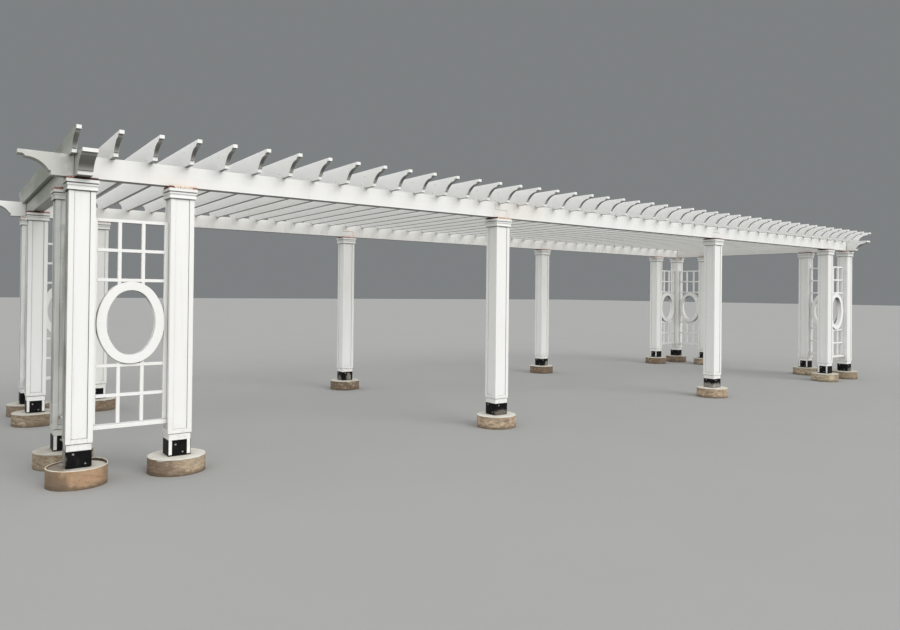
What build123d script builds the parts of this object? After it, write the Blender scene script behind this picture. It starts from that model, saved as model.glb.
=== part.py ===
from build123d import *
import math
import os

# Garden pergola: sixteen boxed posts on round piers, long and side beams, rafters and trellis corners.
# Millimetres. The origin lies on the ground under the middle of the plan. +X runs along the long
# front row, +Y runs from the front row to the back row, and +Z is up.

# Driving dimensions.

# Plan. The rafters set the length: one every foot, with the outermost pair just outside the side beams.
RAFTER_PITCH = 304.8
RAFTER_COUNT = 46
RAFTER_T = 38.0
RAFTER_H = 184.0
BEAM_W = 114.0
BEAM_H = 184.0
OUTER_RAFTER_GAP = 6.0
CORNER_BAY = 792.0
MIDDLE_BAY = 4508.0
SIDE_BAY = 2438.0

# Heights.
PIER_TOP = 150.0
BASE_H = 140.0
BAND_H = 60.0
POST_H = 2380.0
SHIM_T = 20.0

# Piers and their form tubes. The poured top runs out over the rim of the tube.
PIER_D = 455.0
LIP_H = 8.0
TUBE_WALL = 9.0

# Posts.
POST_W = 200.0
BAND_W = 184.0
STILE_W = 40.0
PANEL_RAIL_H = 38.0
PANEL_DEPTH = 6.0
LEG_W = 28.0
PLATE_T = 4.0
FOOT_PLATE_T = 10.0
BOOT_W = 194.0
BOOT_R = 15.0

# Post caps: a flat top band over a groove, and under it a shallow scoop between two beads.
# Each reach is how far that part stands out from the shaft.
CAP_H = 89.0
TOP_BAND_H = 27.0
TOP_BAND_REACH = 21.0
TOP_BAND_EASE = 4.0
GROOVE_H = 9.0
GROOVE_REACH = 8.0
BEAD_H = 12.0
UPPER_BEAD_REACH = 17.0
LOWER_BEAD_REACH = 15.0
SCOOP_DEPTH = 5.0
SHIM_W = 212.0

# Shaped ends shared by beams and rafters. The reach runs from the axis of the post row.
TAIL_REACH = 455.0
NOSE_H = 32.0
NOSE_L = 38.0
QUIRK_H = 20.0
QUIRK_L = 15.0
COVE_RUN = 165.0
LEDGE_L = 12.0
FOOT_H = 35.0

# Joints.
RAFTER_NOTCH = 19.0
SCARF_L = 180.0
FIT = 0.3

# Trellis panels. The rise runs from the top of the piers to the sill, and the drop from the
# underside of the beams down to the top of the panel.
TRELLIS_RISE = 289.0
TRELLIS_DROP = 321.0
SILL_H = 38.0
SILL_W = 89.0
BAR_W = 28.0
BAR_D = 30.0
ROW_PITCH = 255.0
RING_BAND = 75.0
RING_D = 72.0
RING_LET_IN = 2.0

# Derived layout.

OUTER_RAFTER_OFFSET = BEAM_W / 2 + OUTER_RAFTER_GAP + RAFTER_T / 2
RUN = (RAFTER_COUNT - 1) * RAFTER_PITCH - 2 * OUTER_RAFTER_OFFSET
LONG_BAY = (RUN - MIDDLE_BAY) / 2 - CORNER_BAY
DEPTH = SIDE_BAY + 2 * CORNER_BAY
END_X = RUN / 2
INNER_X = END_X - CORNER_BAY
MIDDLE_X = MIDDLE_BAY / 2
END_Y = DEPTH / 2
INNER_Y = END_Y - CORNER_BAY
BASE_TOP = PIER_TOP + BASE_H
BAND_TOP = BASE_TOP + BAND_H
SHAFT_TOP = PIER_TOP + POST_H
BEAM_BOTTOM = SHAFT_TOP + SHIM_T
RAFTER_BOTTOM = BEAM_BOTTOM + BEAM_H - RAFTER_NOTCH
TRELLIS_BOTTOM = PIER_TOP + TRELLIS_RISE
TRELLIS_H = BEAM_BOTTOM - TRELLIS_DROP - TRELLIS_BOTTOM

ROW_X = {"1": -END_X, "2": -INNER_X, "3": -MIDDLE_X, "4": MIDDLE_X, "5": INNER_X, "6": END_X}
POSTS = {f"post_front_{n}": (x, -END_Y) for n, x in ROW_X.items()}
POSTS |= {f"post_back_{n}": (x, END_Y) for n, x in ROW_X.items()}
POSTS |= {
    "post_left_front": (-END_X, -INNER_Y),
    "post_left_back": (-END_X, INNER_Y),
    "post_right_front": (END_X, -INNER_Y),
    "post_right_back": (END_X, INNER_Y),
}
# Posts with a trellis on one side only stand on corner legs round a bolted block; the others stand in boots.
LEGGED_LEFT = ["post_front_2", "post_back_2", "post_left_front", "post_left_back"]
LEGGED_RIGHT = ["post_front_5", "post_back_5", "post_right_front", "post_right_back"]
BOOTED = [name for name in POSTS if name not in LEGGED_LEFT + LEGGED_RIGHT]


def block(size, x=0.0, y=0.0, bottom=0.0):
    """A box of the given size standing on the level `bottom` over (x, y)."""
    return Pos(x, y, bottom) * Box(*size, align=(Align.CENTER, Align.CENTER, Align.MIN))


def pier(x, y):
    """Round concrete pier, turned from its half section, with a thin lip round its top."""
    wall = PIER_D / 2
    lip = wall + TUBE_WALL
    lip_bottom = PIER_TOP - LIP_H
    half_section = Polyline(
        (0, 0),
        (wall, 0),
        (wall, lip_bottom),
        (lip, lip_bottom),
        (lip, PIER_TOP),
        (0, PIER_TOP),
        close=True,
    )
    return Pos(x, y, 0) * revolve(Plane.XZ * make_face(half_section), Axis.Z)


def form_tube(x, y):
    """Cardboard form left round the pier, under its lip."""
    ring = Circle(PIER_D / 2 + TUBE_WALL) - Circle(PIER_D / 2)
    return Pos(x, y, 0) * extrude(ring, PIER_TOP - LIP_H)


def boot(x, y):
    """Steel boot under a post: a square block, rounded at its upright corners and round its foot."""
    body = block((BOOT_W, BOOT_W, BASE_H), x, y, PIER_TOP)
    upright = body.edges().filter_by(Axis.Z)
    foot = body.edges().group_by(Axis.Z)[0]
    return fillet(upright + foot, BOOT_R)


def legged_base(x, y, turn):
    """Steel base between four corner legs: foot plate, bolted block and two full-width side plates."""
    foot = block((BAND_W + 8, BAND_W + 8, FOOT_PLATE_T))
    web = block((BAND_W - 2 * LEG_W, BAND_W - 8, BASE_H))
    tongue = block((BAND_W - 8, BAND_W - 2 * LEG_W, BASE_H))
    side = block((PLATE_T, BAND_W, BASE_H), x=BAND_W / 2 + PLATE_T / 2)
    return Pos(x, y, PIER_TOP) * Rot(0, 0, turn) * (foot + web + tongue + side + mirror(side, Plane.YZ))


def shaft():
    """Boxed shaft on a narrower band, with a sunk panel on each face that runs up to the cap."""
    height = SHAFT_TOP - BAND_TOP
    body = block((POST_W, POST_W, height), bottom=BAND_TOP)
    body += block((BAND_W, BAND_W, BAND_H), bottom=BASE_TOP)
    sunk = Box(
        POST_W - 2 * STILE_W,
        PANEL_DEPTH,
        SHAFT_TOP - CAP_H - BAND_TOP - PANEL_RAIL_H,
        align=(Align.CENTER, Align.MIN, Align.MIN),
    )
    for turn in (0, 90, 180, 270):
        body -= Rot(0, 0, turn) * Pos(0, -POST_W / 2, BAND_TOP + PANEL_RAIL_H) * sunk
    return body


def legs():
    """Four corner legs that carry the band down to the steel foot plate."""
    inset = BAND_W / 2 - LEG_W / 2
    bottom = PIER_TOP + FOOT_PLATE_T
    size = (LEG_W, LEG_W, BASE_TOP - bottom)
    return [block(size, sx * inset, sy * inset, bottom) for sx in (-1, 1) for sy in (-1, 1)]


def cap():
    """Mitred collar round the head of a shaft, from one silhouette taken through both ways."""
    shaft_half = POST_W / 2
    top_band = shaft_half + TOP_BAND_REACH
    groove = shaft_half + GROOVE_REACH
    upper_bead = shaft_half + UPPER_BEAD_REACH
    lower_bead = shaft_half + LOWER_BEAD_REACH
    band_bottom = CAP_H - TOP_BAND_H
    bead_top = band_bottom - GROOVE_H
    scoop_top = bead_top - BEAD_H
    scoop_middle = ((upper_bead + lower_bead) / 2 - SCOOP_DEPTH, (BEAD_H + scoop_top) / 2)
    foot = Polyline((0, 0), (lower_bead, 0), (lower_bead, BEAD_H))
    scoop = ThreePointArc((lower_bead, BEAD_H), scoop_middle, (upper_bead, scoop_top))
    head = Polyline(
        (upper_bead, scoop_top),
        (upper_bead, bead_top),
        (groove, bead_top),
        (groove, band_bottom),
        (top_band, band_bottom),
        (top_band, CAP_H - TOP_BAND_EASE),
        (top_band - TOP_BAND_EASE, CAP_H),
        (0, CAP_H),
        (0, 0),
    )
    half_face = make_face(foot + scoop + head)
    silhouette = Plane.XZ * (half_face + mirror(half_face, Plane.YZ))
    bar = extrude(silhouette, top_band, both=True)
    collar = bar & (Rot(0, 0, 90) * bar)
    return collar - block((POST_W, POST_W, CAP_H))


def shaped_end(axis, sign, height):
    """Edges of a shaped end on one side of a member, running from the top corner to the heel."""
    tip = axis + TAIL_REACH
    nose_back = tip - NOSE_L
    cove_start = nose_back - QUIRK_L
    cove_end = cove_start - COVE_RUN
    heel = cove_end - LEDGE_L
    nose_bottom = height - NOSE_H
    cove_top = nose_bottom - QUIRK_H
    cove_h = cove_top - FOOT_H
    radius = (COVE_RUN**2 + cove_h**2) / (2 * cove_h)
    sweep = math.asin(COVE_RUN / radius)
    cove_middle = (
        cove_start - radius * math.sin(sweep / 2),
        cove_top - radius * (1 - math.cos(sweep / 2)),
    )

    def place(*points):
        return [(sign * x, z) for x, z in points]

    nose_points = place((tip, height), (tip, nose_bottom), (nose_back, nose_bottom), (cove_start, cove_top))
    cove_points = place((cove_start, cove_top), cove_middle, (cove_end, FOOT_H))
    foot_points = place((cove_end, FOOT_H), (heel, FOOT_H), (heel, 0))
    edges = Polyline(*nose_points) + ThreePointArc(*cove_points) + Polyline(*foot_points)
    return edges, (nose_points[0], foot_points[-1])


def shaped_member(axis, thickness, height):
    """Member along +X with both ends shaped, its bottom at level 0, centred on the origin."""
    left, left_corners = shaped_end(axis, -1, height)
    right, right_corners = shaped_end(axis, 1, height)
    outline = left + right
    for left_corner, right_corner in zip(left_corners, right_corners):
        outline += Line(left_corner, right_corner)
    return extrude(Plane.XZ * make_face(outline), thickness / 2, both=True)


def half_lap(x, toward):
    """Volume that a spliced length gives up over a post: all past the scarf, and one half of its height.

    The lower half runs on to the far end of the scarf, so the middle length drops in on top.
    """
    past = 2 * RUN
    far = toward * SCARF_L / 2
    upper = Box(past, 2 * BEAM_W, BEAM_H, align=(Align.MIN, Align.CENTER, Align.MIN))
    lower = Box(past, 2 * BEAM_W, BEAM_H, align=(Align.MIN, Align.CENTER, Align.MAX))
    if toward < 0:
        upper = mirror(upper, Plane.YZ)
        lower = mirror(lower, Plane.YZ)
    level = BEAM_BOTTOM + BEAM_H / 2
    return Pos(x - far, 0, level) * upper + Pos(x + far, 0, level) * lower


def long_beams(y):
    """The three lengths of one long beam, with cross-laps for the side beams and scarfs over two posts."""
    whole = Pos(0, y, BEAM_BOTTOM) * shaped_member(END_X, BEAM_W, BEAM_H)
    cross = Box(BEAM_W + 2 * FIT, 2 * BEAM_W, BEAM_H, align=(Align.CENTER, Align.CENTER, Align.MIN))
    for x in (-END_X, END_X):
        whole -= Pos(x, y, BEAM_BOTTOM + BEAM_H / 2) * cross
    left = whole - Pos(0, y, 0) * half_lap(-MIDDLE_X, 1)
    right = whole - Pos(0, y, 0) * half_lap(MIDDLE_X, -1)
    middle = whole - left - right
    return left, middle, right


def side_beam(x):
    """Side beam lapped down into both long beams."""
    whole = Rot(0, 0, 90) * shaped_member(END_Y, BEAM_W, BEAM_H)
    cross = Box(2 * BEAM_W, BEAM_W + 2 * FIT, BEAM_H / 2, align=(Align.CENTER, Align.CENTER, Align.MIN))
    for y in (-END_Y, END_Y):
        whole -= Pos(0, y, 0) * cross
    return Pos(x, 0, BEAM_BOTTOM) * whole


def rafter():
    """Rafter across both long beams, notched over each one."""
    whole = Rot(0, 0, 90) * shaped_member(END_Y, RAFTER_T, RAFTER_H)
    notch = Box(2 * RAFTER_T, BEAM_W + 2 * FIT, RAFTER_NOTCH, align=(Align.CENTER, Align.CENTER, Align.MIN))
    for y in (-END_Y, END_Y):
        whole -= Pos(0, y, 0) * notch
    return Pos(0, 0, RAFTER_BOTTOM) * whole


def oval(across, up):
    """Four-centred oval with the given half axes, standing in the XZ plane."""
    long, short = max(across, up), min(across, up)
    diagonal = math.hypot(long, short)
    end_r = diagonal * (diagonal - long + short) / (2 * long)
    side_r = diagonal * (diagonal + long - short) / (2 * short)
    join = Vector(long - end_r, side_r - short).normalized() * end_r + Vector(long - end_r, 0)
    end = ThreePointArc((join.X, -join.Y), (long, 0), (join.X, join.Y))
    side = ThreePointArc((join.X, join.Y), (0, short), (-join.X, join.Y))
    outline = Curve() + [end, side, mirror(end, Plane.YZ), mirror(side, Plane.XZ)]
    turn = 0 if across > up else 90
    return Plane.XZ * Rot(0, 0, turn) * make_face(outline)


def trellis():
    """Trellis panel between two posts, in the XZ plane, centred on the origin in plan.

    Two rows of openings over an oval ring and two rows under it, on a deeper sill. Its stiles
    stand in the sunk panels of the posts.
    """
    width = CORNER_BAY - POST_W + 2 * (PANEL_DEPTH - FIT)
    opening = CORNER_BAY - POST_W - 2 * BAR_W
    stile = (width - opening) / 2
    column = (opening + BAR_W) / 3

    def rail(level, thick=BAR_W, deep=BAR_D):
        return block((width, deep, thick), bottom=level)

    panel = rail(0, SILL_H, SILL_W)
    levels = [TRELLIS_H - BAR_W - n * ROW_PITCH for n in range(3)]
    levels += [SILL_H + n * ROW_PITCH - BAR_W for n in (1, 2)]
    for level in levels:
        panel += rail(level)
    for side in (-1, 1):
        panel += block((stile, BAR_D, TRELLIS_H), x=side * (width - stile) / 2)
        panel += block((BAR_W, BAR_D, TRELLIS_H), x=side * column / 2)

    ring_top = levels[2]
    ring_bottom = levels[4] + BAR_W
    middle = (ring_top + ring_bottom) / 2
    rise = (ring_top - ring_bottom) / 2 + RING_LET_IN
    span = opening / 2 + RING_LET_IN
    outer = Pos(0, 0, middle) * oval(span, rise)
    inner = offset(outer, -RING_BAND)
    panel += extrude(outer, RING_D / 2, both=True)
    panel -= extrude(inner, RING_D, both=True)
    return Pos(0, 0, TRELLIS_BOTTOM) * panel


# Nodes.

nodes = {}

nodes["concrete_piers"] = [pier(x, y) for x, y in POSTS.values()]
nodes["form_tubes"] = [form_tube(x, y) for x, y in POSTS.values()]
nodes["steel_boots"] = [boot(*POSTS[name]) for name in BOOTED]
nodes["steel_leg_bases"] = [legged_base(*POSTS[name], 0) for name in LEGGED_LEFT]
nodes["steel_leg_bases"] += [legged_base(*POSTS[name], 90) for name in LEGGED_RIGHT]

plain_post = shaft()
legged_post = plain_post
for leg in legs():
    legged_post += leg
for name, (x, y) in POSTS.items():
    source = plain_post if name in BOOTED else legged_post
    nodes[name] = [Pos(x, y, 0) * source]

one_cap = cap()
nodes["post_caps"] = [Pos(x, y, SHAFT_TOP - CAP_H) * one_cap for x, y in POSTS.values()]
nodes["cap_shims"] = [block((SHIM_W, SHIM_W, SHIM_T), x, y, SHAFT_TOP) for x, y in POSTS.values()]

for side, y in (("front", -END_Y), ("back", END_Y)):
    lengths = long_beams(y)
    for place, length in zip(("left", "middle", "right"), lengths):
        nodes[f"beam_{side}_{place}"] = [length]
nodes["beam_left_side"] = [side_beam(-END_X)]
nodes["beam_right_side"] = [side_beam(END_X)]

one_rafter = rafter()
first_x = -(RAFTER_COUNT - 1) * RAFTER_PITCH / 2
rafter_xs = [first_x + n * RAFTER_PITCH for n in range(RAFTER_COUNT)]
rafter_groups = {
    "rafters_left_corner": (-RUN, -INNER_X),
    "rafters_left_bay": (-INNER_X, -MIDDLE_X),
    "rafters_middle_bay": (-MIDDLE_X, MIDDLE_X),
    "rafters_right_bay": (MIDDLE_X, INNER_X),
    "rafters_right_corner": (INNER_X, RUN),
}
for name, (low, high) in rafter_groups.items():
    nodes[name] = [Pos(x, 0, 0) * one_rafter for x in rafter_xs if low < x <= high]

panel = trellis()
between_x = (END_X + INNER_X) / 2
between_y = (END_Y + INNER_Y) / 2
for side, y in (("front", -END_Y), ("back", END_Y)):
    for place, sign in (("left", -1), ("right", 1)):
        nodes[f"trellis_{side}_{place}"] = [Pos(sign * between_x, y, 0) * panel]
for place, x in (("left", -END_X), ("right", END_X)):
    for side, sign in (("front", -1), ("back", 1)):
        nodes[f"trellis_{place}_{side}"] = [Pos(x, sign * between_y, 0) * Rot(0, 0, 90) * panel]

os.makedirs("parts", exist_ok=True)
for name, solids in nodes.items():
    shape = solids[0] if len(solids) == 1 else Compound(children=solids)
    export_step(shape, f"parts/{name}.step")

print(f"{len(nodes)} nodes, {sum(len(s) for s in nodes.values())} solids")
print(f"run {RUN:.1f}, long bay {LONG_BAY:.1f}, depth {DEPTH:.1f}, length {RUN + 2 * TAIL_REACH:.1f}")
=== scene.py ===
"""Looks of the garden pergola: painted boards, mouldings, shims, trellises, piers and form tubes."""

import math
import random

import bmesh
import bpy
from mathutils import Matrix, Vector, noise

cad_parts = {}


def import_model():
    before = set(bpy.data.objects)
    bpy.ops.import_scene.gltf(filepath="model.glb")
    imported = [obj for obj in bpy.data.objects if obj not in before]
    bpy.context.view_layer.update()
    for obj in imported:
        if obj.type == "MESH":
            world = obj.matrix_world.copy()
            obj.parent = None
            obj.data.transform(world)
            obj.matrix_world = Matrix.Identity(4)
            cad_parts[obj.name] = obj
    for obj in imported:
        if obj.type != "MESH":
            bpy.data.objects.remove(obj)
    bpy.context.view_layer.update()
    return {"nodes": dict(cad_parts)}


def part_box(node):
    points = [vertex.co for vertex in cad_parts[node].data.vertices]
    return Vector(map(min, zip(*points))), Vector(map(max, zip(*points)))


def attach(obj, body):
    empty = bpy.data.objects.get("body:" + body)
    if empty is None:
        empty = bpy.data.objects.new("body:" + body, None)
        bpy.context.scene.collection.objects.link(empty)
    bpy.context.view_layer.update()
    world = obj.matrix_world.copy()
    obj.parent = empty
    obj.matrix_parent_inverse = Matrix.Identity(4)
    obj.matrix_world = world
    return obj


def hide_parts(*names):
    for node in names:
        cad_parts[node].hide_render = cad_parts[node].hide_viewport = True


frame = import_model()

# Lengths are metres. X runs along the front row from left to right, Y from the front row to the back row.

# Levels and places read from the frame.
PIER_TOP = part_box("steel_boots")[0].z
BASE_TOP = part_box("steel_boots")[1].z
SHAFT_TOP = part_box("cap_shims")[0].z
BEAM_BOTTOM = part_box("cap_shims")[1].z
BEAM_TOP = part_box("beam_left_side")[1].z
RAFTER_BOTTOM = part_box("rafters_middle_bay")[0].z
RAFTER_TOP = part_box("rafters_middle_bay")[1].z
CAP_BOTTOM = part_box("post_caps")[0].z
LEG_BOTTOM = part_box("post_front_2")[0].z

# Boards.
EASE = 0.0015
FINE_EASE = 0.001
TIMBER_EASE = 0.002
RING_EASE = 0.003
GRAIN_SPREAD = 40
POST_W = 0.200
BAND_W = 0.184
BAND_H = 0.060
STILE_W = 0.040
LOW_RAIL_H = 0.038
PANEL_DEPTH = 0.006
PANEL_T = 0.005
PANEL_TIGHT = 0.0006
PANEL_LOOSE = 0.003
SHADOW_GAP = 0.005
LEG_W = 0.028
BOARD_T = 0.012
BEAM_W = 0.114
RAFTER_T = 0.038
RAFTER_NOTCH = 0.019
NOTCH_SLACK = 0.011
RAFTER_COUNTS = {
    "rafters_left_corner": 3,
    "rafters_left_bay": 13,
    "rafters_middle_bay": 14,
    "rafters_right_bay": 13,
    "rafters_right_corner": 3,
}
SCARF_L = 0.180
JOINT_GAP = 0.0012
LAP_HALF = BEAM_W / 2 + JOINT_GAP / 2
LAP_LEVEL = (BEAM_BOTTOM + BEAM_TOP) / 2

# Shaped ends of beams and rafters.
TAIL_REACH = 0.455
NOSE_H = 0.032
NOSE_L = 0.038
QUIRK_H = 0.020
QUIRK_L = 0.015
COVE_RUN = 0.165
LEDGE_L = 0.012
FOOT_H = 0.035
COVE_STEPS = 12

# Trellis panels.
SILL_H = 0.038
SILL_W = 0.089
SILL_SLOPE = 0.004
BAR_W = 0.028
BAR_D = 0.030
ROW_PITCH = 0.255
RING_BAND = 0.075
RING_D = 0.072
RING_LET_IN = 0.002
RING_STEPS = 112
PANEL_FIT = 0.0003
RAIL_PROUD = 0.0006

# Piers and form tubes.
PIER_R = 0.2275
TUBE_WALL = 0.009
LIP_H = 0.008
ROUND_STEPS = 96

# Edges that turn by more than this are eased and shaded sharp.
SHARP_ANGLE = math.radians(24)


def middle(node):
    low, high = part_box(node)
    return (low + high) / 2


POSTS = {}
for node in frame["nodes"]:
    if node.startswith("post_") and node != "post_caps":
        POSTS[node] = (middle(node).x, middle(node).y)
# Posts on four legs, and those of them whose bases open to the front and back.
LEGGED = [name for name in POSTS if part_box(name)[0].z < BASE_TOP - LEG_W]
OPEN_FORWARD = [name for name in LEGGED if name.endswith("_2") or "_left_" in name]
END_X = POSTS["post_front_6"][0]
MIDDLE_X = POSTS["post_front_4"][0]
END_Y = POSTS["post_back_1"][1]


# Mesh making.


def linked(name, data):
    """A new object in the scene."""
    made = bpy.data.objects.new(name, data)
    bpy.context.scene.collection.objects.link(made)
    return made


def skin(bm, loops, closed=False):
    """Joins each loop of vertices to the next, and fills the end loops or joins the last to the first."""
    for near, far in zip(loops, loops[1:] + loops[:1] if closed else loops[1:]):
        for k in range(len(near)):
            after = (k + 1) % len(near)
            bm.faces.new((near[k], near[after], far[after], far[k]))
    if not closed:
        bm.faces.new(loops[0])
        bm.faces.new(loops[-1])


class Boards:
    """One mesh made of separate eased boards, each with a tone and grain coordinates of its own."""

    def __init__(self, name, slot="white_paint"):
        self.name = name
        self.slot = slot
        self.random = random.Random(f"{name} 0")
        self.points = []
        self.faces = []
        self.tones = []
        self.grains = []

    def add(self, bm, grain=0, place=None, ease=EASE, tone=None):
        """Eases a finished board's sharp edges, then takes it into the mesh with its grain along an axis."""
        bmesh.ops.recalc_face_normals(bm, faces=bm.faces)
        if ease:
            sharp = [e for e in bm.edges if e.is_manifold and e.calc_face_angle(0) > SHARP_ANGLE]
            bmesh.ops.bevel(bm, geom=sharp, offset=ease, segments=1, affect="EDGES", clamp_overlap=True)
        place = place or Matrix.Identity(4)
        shift = Vector([self.random.uniform(0, GRAIN_SPREAD) for _ in range(3)])
        tone = self.random.random() if tone is None else tone
        first = len(self.points)
        bm.verts.index_update()
        for vert in bm.verts:
            local = vert.co
            self.points.append((place @ local)[:])
            self.grains.append((Vector([local[(grain + k) % 3] for k in range(3)]) + shift)[:])
            self.tones.append(tone)
        self.faces += [[first + v.index for v in face.verts] for face in bm.faces]
        bm.free()

    def box(self, low, high, grain=0, place=None, ease=EASE, tone=None):
        """A board between two corners."""
        bm = bmesh.new()
        bmesh.ops.create_cube(bm, size=1)
        for vert in bm.verts:
            vert.co = [(a + b) / 2 + share * (b - a) for a, b, share in zip(low, high, vert.co)]
        self.add(bm, grain, place, ease, tone)

    def prism(self, outline, low, high, axis=1, grain=0, place=None, ease=EASE, tone=None):
        """A board with an outline in the plane across `axis`, from one distance to another along it."""
        bm = bmesh.new()
        loops = []
        for distance in (low, high):
            loop = []
            for a, b in outline:
                co = [a, b]
                co.insert(axis, distance)
                loop.append(bm.verts.new(co))
            loops.append(loop)
        skin(bm, loops)
        self.add(bm, grain, place, ease, tone)

    def object(self, material, *replaces):
        """Makes the finished piece, which rides on the one body."""
        mesh = bpy.data.meshes.new(self.name)
        mesh.from_pydata(self.points, [], self.faces)
        mesh.attributes.new("tone", "FLOAT", "POINT").data.foreach_set("value", self.tones)
        flat = [value for grain in self.grains for value in grain]
        mesh.attributes.new("grain", "FLOAT_VECTOR", "POINT").data.foreach_set("vector", flat)
        mesh.shade_smooth()
        mesh.set_sharp_from_angle(angle=SHARP_ANGLE)
        mesh.materials.append(material)
        piece = linked(self.name, mesh)
        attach(piece, "root")
        if replaces:
            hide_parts(*replaces)


def turned(x, y, quarter=0):
    """Placement at (x, y) after a number of quarter turns."""
    return Matrix.Translation((x, y, 0)) @ Matrix.Rotation(quarter * math.pi / 2, 4, "Z")


def tail(axis, bottom, top):
    """Outline of a shaped end, from the heel at the underside out to the top corner of the nose."""
    tip = axis + TAIL_REACH
    nose_back = tip - NOSE_L
    cove_start = nose_back - QUIRK_L
    cove_end = cove_start - COVE_RUN
    heel = cove_end - LEDGE_L
    nose_bottom = top - NOSE_H
    cove_top = nose_bottom - QUIRK_H
    drop = cove_top - bottom - FOOT_H
    radius = (COVE_RUN**2 + drop**2) / (2 * drop)
    sweep = math.asin(COVE_RUN / radius)
    cove = []
    for k in range(COVE_STEPS + 1):
        angle = sweep * (1 - k / COVE_STEPS)
        cove.append((cove_start - radius * math.sin(angle), cove_top - radius * (1 - math.cos(angle))))
    nose = [(nose_back, nose_bottom), (tip, nose_bottom), (tip, top)]
    return [(heel, bottom), (heel, bottom + FOOT_H), *cove, *nose]


def mirrored(points):
    """Points mirrored to the other side, in the order that goes on round an outline."""
    return [(-x, z) for x, z in reversed(points)]


def notch(centre, half, mouth, seat):
    """Corners of a notch round a centre, with half its width, open at one level and cut to another."""
    return [(centre - half, mouth), (centre - half, seat), (centre + half, seat), (centre + half, mouth)]


# Material making.

# How ragged and how soft the edges of stains are.
SPOT_RAG = 1.4
SPOT_EDGE = 0.35


class Nodes:
    """Short calls for the nodes of one tree."""

    def __init__(self, owner):
        owner.use_nodes = True
        self.tree = owner.node_tree

    def put(self, socket, value):
        """Links or sets a socket. A colour is given without its alpha."""
        if isinstance(value, bpy.types.NodeSocket):
            self.tree.links.new(value, socket)
        else:
            socket.default_value = (*value, 1) if socket.type == "RGBA" else value

    def node(self, kind, inputs=None, **settings):
        made = self.tree.nodes.new("ShaderNode" + kind)
        for key, value in settings.items():
            setattr(made, key, value)
        for key, value in (inputs or {}).items():
            self.put(made.inputs[key], value)
        return made

    def math(self, operation, a, b=0.0, clamp=False):
        return self.node("Math", {0: a, 1: b}, operation=operation, use_clamp=clamp).outputs[0]

    def times(self, a, b):
        return self.math("MULTIPLY", a, b)

    def split(self, vector):
        return self.node("SeparateXYZ", {0: vector}).outputs

    def seen(self):
        """1 for rays that show a surface to the lens, also in gloss and through glass."""
        path = self.node("LightPath").outputs
        seen = self.math("ADD", path["Is Camera Ray"], path["Is Glossy Ray"], clamp=True)
        return self.math("ADD", seen, path["Is Transmission Ray"], clamp=True)


class Shade(Nodes):
    """A node material on one Principled shader, whose colour is laid on coat by coat."""

    def __init__(self, name, roughness=0.5, metallic=0.0):
        self.material = bpy.data.materials.new(name)
        super().__init__(self.material)
        self.shader = self.tree.nodes["Principled BSDF"]
        self.set("Roughness", roughness)
        self.set("Metallic", metallic)
        self.place = self.node("TexCoord").outputs["Object"]
        self.colour = None

    def set(self, name, value):
        """Sets or links an input of the shader."""
        self.put(self.shader.inputs[name], value)

    def attribute(self, name, output="Fac"):
        return self.node("Attribute", attribute_name=name).outputs[output]

    def scaled(self, vector, *by):
        return self.node("VectorMath", {0: vector, 1: by}, operation="MULTIPLY").outputs[0]

    def noise(self, vector, scale=1.0, detail=3.0, rough=0.55):
        inputs = {"Vector": vector, "Scale": scale, "Detail": detail, "Roughness": rough}
        return self.node("TexNoise", inputs).outputs["Fac"]

    def span(self, value, low, high, to_low=0.0, to_high=1.0):
        """A value carried smoothly from one range to another and held at its ends."""
        inputs = {"Value": value, "From Min": low, "From Max": high, "To Min": to_low, "To Max": to_high}
        return self.node("MapRange", inputs, interpolation_type="SMOOTHSTEP").outputs["Result"]

    def mix(self, share, a, b):
        made = self.node("Mix", data_type="RGBA")
        for socket, value in ((0, share), (6, a), (7, b)):
            self.put(made.inputs[socket], value)
        return made.outputs[2]

    def ramp(self, value, *stops):
        made = self.node("ValToRGB", {0: value})
        elements = made.color_ramp.elements
        while len(elements) < len(stops):
            elements.new(0.5)
        for element, (position, colour) in zip(elements, stops):
            element.position = position
            element.color = (*colour, 1)
        return made.outputs["Color"]

    def crease(self, distance):
        """Near 1 where faces meet closely and 0 on open faces."""
        near = self.node("AmbientOcclusion", {"Distance": distance}, samples=6)
        return self.math("SUBTRACT", 1.0, near.outputs["AO"], clamp=True)

    def spot(self, centre, reach):
        """A soft ragged patch round a point, with a reach along each axis."""
        offset = self.node("VectorMath", {0: self.place, 1: centre}, operation="SUBTRACT").outputs[0]
        ratio = self.scaled(offset, *[1 / r for r in reach])
        length = self.node("VectorMath", {0: ratio}, operation="LENGTH").outputs["Value"]
        rag = self.noise(self.place, 22.0, 4.0)
        ragged = self.math("ADD", length, self.times(self.math("SUBTRACT", rag, 0.5), SPOT_RAG))
        return self.span(ragged, 1 - SPOT_EDGE, 1 + SPOT_EDGE, 1.0, 0.0)

    def coat(self, share, colour):
        """Lays a colour over the one so far."""
        self.colour = self.mix(share, self.colour, colour)

    def stain(self, stains, over=1.0):
        """Lays on soft patches, each given as its share, colour, centre and reach."""
        for share, colour, centre, reach in stains:
            self.coat(self.times(self.times(self.spot(centre, reach), over), share), colour)

    def finish(self, roughness, height, depth, strength):
        bump = self.node("Bump", {"Height": height, "Distance": depth, "Strength": strength})
        self.set("Base Color", self.colour)
        self.set("Roughness", roughness)
        self.set("Normal", bump.outputs[0])
        return self.material


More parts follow.
